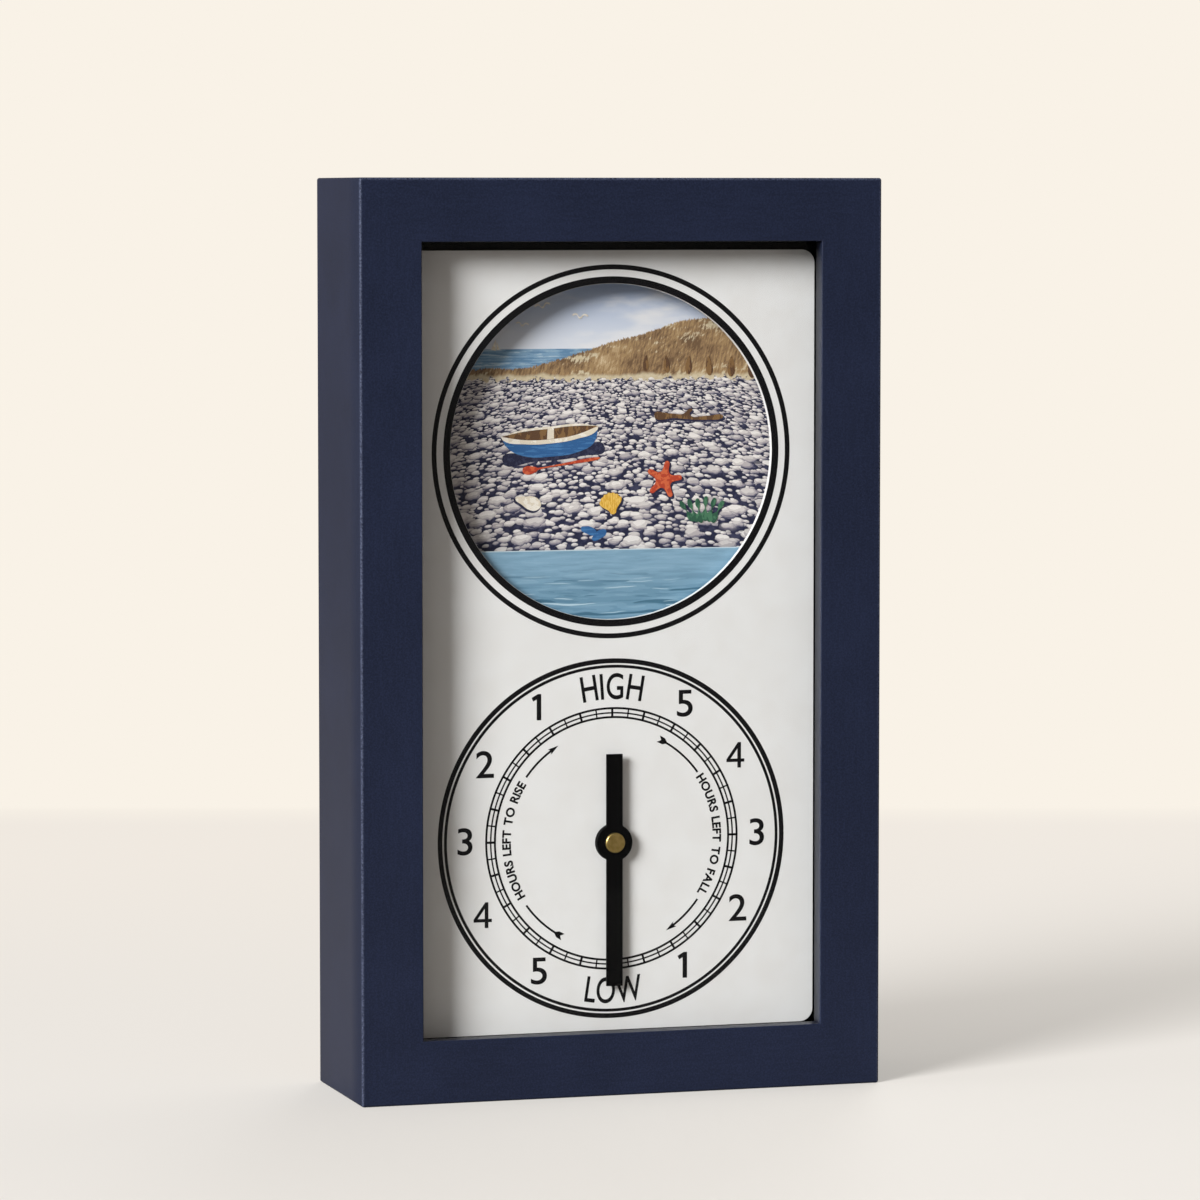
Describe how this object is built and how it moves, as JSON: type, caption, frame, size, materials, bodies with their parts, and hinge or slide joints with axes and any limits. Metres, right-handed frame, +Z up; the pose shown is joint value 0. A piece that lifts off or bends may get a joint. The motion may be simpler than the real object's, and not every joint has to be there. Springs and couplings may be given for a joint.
{
  "type": "tide clock",
  "caption": "Glazed wooden tide clock: a tide hand on a printed dial, and a water sheet that rises and falls in a round picture window above it.",
  "frame": {"origin": "centre of the underside of the case", "axes": "+Z up, the dial faces -Y, +X to the right of someone facing the dial"},
  "size_m": [0.18, 0.0576, 0.3048],
  "materials": {
    "navy_paint": "satin navy paint over wood",
    "clear_glass": "clear window glass",
    "black_strip": "flat black",
    "panel_white": "warm white, printed in black",
    "picture_card": "printed seaside picture",
    "water_print": "translucent blue printed water",
    "black_hand": "satin black",
    "brass": "brushed brass",
    "steel": "zinc-plated steel",
    "hardboard": "brown hardboard",
    "cleat_wood": "bare pine",
    "movement_black": "black moulded plastic",
    "gear_white": "natural white moulded plastic",
    "board_green": "green circuit board",
    "copper_wire": "enamelled copper winding",
    "battery_wrap": "plain printed battery wrap",
    "gasket_rubber": "black rubber"
  },
  "bodies": {
    "case": {"top_rail": "navy_paint", "bottom_rail": "navy_paint", "left_rail": "navy_paint", "right_rail": "navy_paint", "glass_pane": "clear_glass", "side_spacers": "black_strip", "end_spacers": "black_strip", "left_guide": "black_strip", "right_guide": "black_strip", "dial_panel": "panel_white", "scene_card": "picture_card", "threaded_bush": "brass", "bush_nut": "brass", "crank_axle": "brass", "mitre_nails": "steel", "panel_pillars": "steel", "pillar_screws": "steel", "guide_screws": "steel", "ring_screws": "steel", "back_screws": "steel", "hanger_plate": "steel", "hanger_screws": "steel", "bush_washer": "steel", "plus_contact": "steel", "minus_contact": "steel", "quartz_crystal": "steel", "stator": "steel", "mechanism_plate": "hardboard", "back_board": "hardboard", "side_cleats": "cleat_wood", "end_cleats": "cleat_wood", "movement_base": "movement_black", "movement_cover": "movement_black", "clock_chip": "movement_black", "train_bridge": "movement_black", "ring_gear": "gear_white", "circuit_board": "board_green", "motor_coil": "copper_wire", "battery": "battery_wrap", "movement_gasket": "gasket_rubber"},
    "hand": {"tide_hand": "black_hand", "hand_collar": "black_hand", "hand_cap": "brass", "tide_arbor": "brass", "tide_wheel": "gear_white", "lift_drive_wheel": "gear_white"},
    "crank": {"crank_wheel": "gear_white"},
    "planet": {"planet_gear": "gear_white"},
    "water": {"water_sheet": "water_print"},
    "minute": {"minute_wheel": "gear_white"},
    "setting": {"centre_arbor": "brass", "setting_knob": "movement_black"},
    "centre": {"centre_wheel": "gear_white"},
    "third": {"third_wheel": "gear_white"},
    "seconds": {"seconds_wheel": "gear_white"},
    "intermediate": {"intermediate_wheel": "gear_white"},
    "rotor": {"rotor": "steel"}
  },
  "joints": [
    {"name": "hand_turn", "type": "hinge", "parent": "case", "child": "hand", "pos_m": [0, -0.01775, 0.0834], "axis": [0, 1, 0], "continuous": true},
    {"name": "crank_turn", "type": "hinge", "parent": "case", "child": "crank", "pos_m": [0, -0.00535, 0.1194], "axis": [0, 1, 0], "continuous": true},
    {"name": "planet_turn", "type": "hinge", "parent": "crank", "child": "planet", "pos_m": [0, -0.00775, 0.1069], "axis": [0, 1, 0], "continuous": true},
    {"name": "water_rise", "type": "hinge", "parent": "planet", "child": "water", "pos_m": [0, -0.01125, 0.0944], "axis": [0, 1, 0], "continuous": true},
    {"name": "minute_turn", "type": "hinge", "parent": "case", "child": "minute", "pos_m": [-0.00705, 0.00525, 0.08083], "axis": [0, 1, 0], "continuous": true},
    {"name": "setting_turn", "type": "hinge", "parent": "case", "child": "setting", "pos_m": [0, 0.01825, 0.0834], "axis": [0, 1, 0], "continuous": true},
    {"name": "rotor_turn", "type": "hinge", "parent": "case", "child": "rotor", "pos_m": [0.01732, 0.00725, 0.08359], "axis": [0, 1, 0], "continuous": true},
    {"name": "intermediate_turn", "type": "hinge", "parent": "case", "child": "intermediate", "pos_m": [0.01346, 0.01025, 0.08819], "axis": [0, 1, 0], "continuous": true},
    {"name": "seconds_turn", "type": "hinge", "parent": "case", "child": "seconds", "pos_m": [0.01107, 0.00925, 0.09476], "axis": [0, 1, 0], "continuous": true},
    {"name": "third_turn", "type": "hinge", "parent": "case", "child": "third", "pos_m": [0.00308, 0.00825, 0.09186], "axis": [0, 1, 0], "continuous": true},
    {"name": "centre_turn", "type": "hinge", "parent": "case", "child": "centre", "pos_m": [0, 0.00685, 0.0834], "axis": [0, 1, 0], "continuous": true}
  ],
  "couplings": [
    {"joint": "crank_turn", "follows": "hand_turn", "ratio": -1},
    {"joint": "planet_turn", "follows": "hand_turn", "ratio": 2},
    {"joint": "water_rise", "follows": "hand_turn", "ratio": -1},
    {"joint": "minute_turn", "follows": "hand_turn", "ratio": -4},
    {"joint": "setting_turn", "follows": "hand_turn", "ratio": 12},
    {"joint": "intermediate_turn", "follows": "rotor_turn", "ratio": -0.2},
    {"joint": "seconds_turn", "follows": "rotor_turn", "ratio": 0.033333},
    {"joint": "third_turn", "follows": "rotor_turn", "ratio": -0.0044444},
    {"joint": "centre_turn", "follows": "rotor_turn", "ratio": 0.00055556}
  ]
}
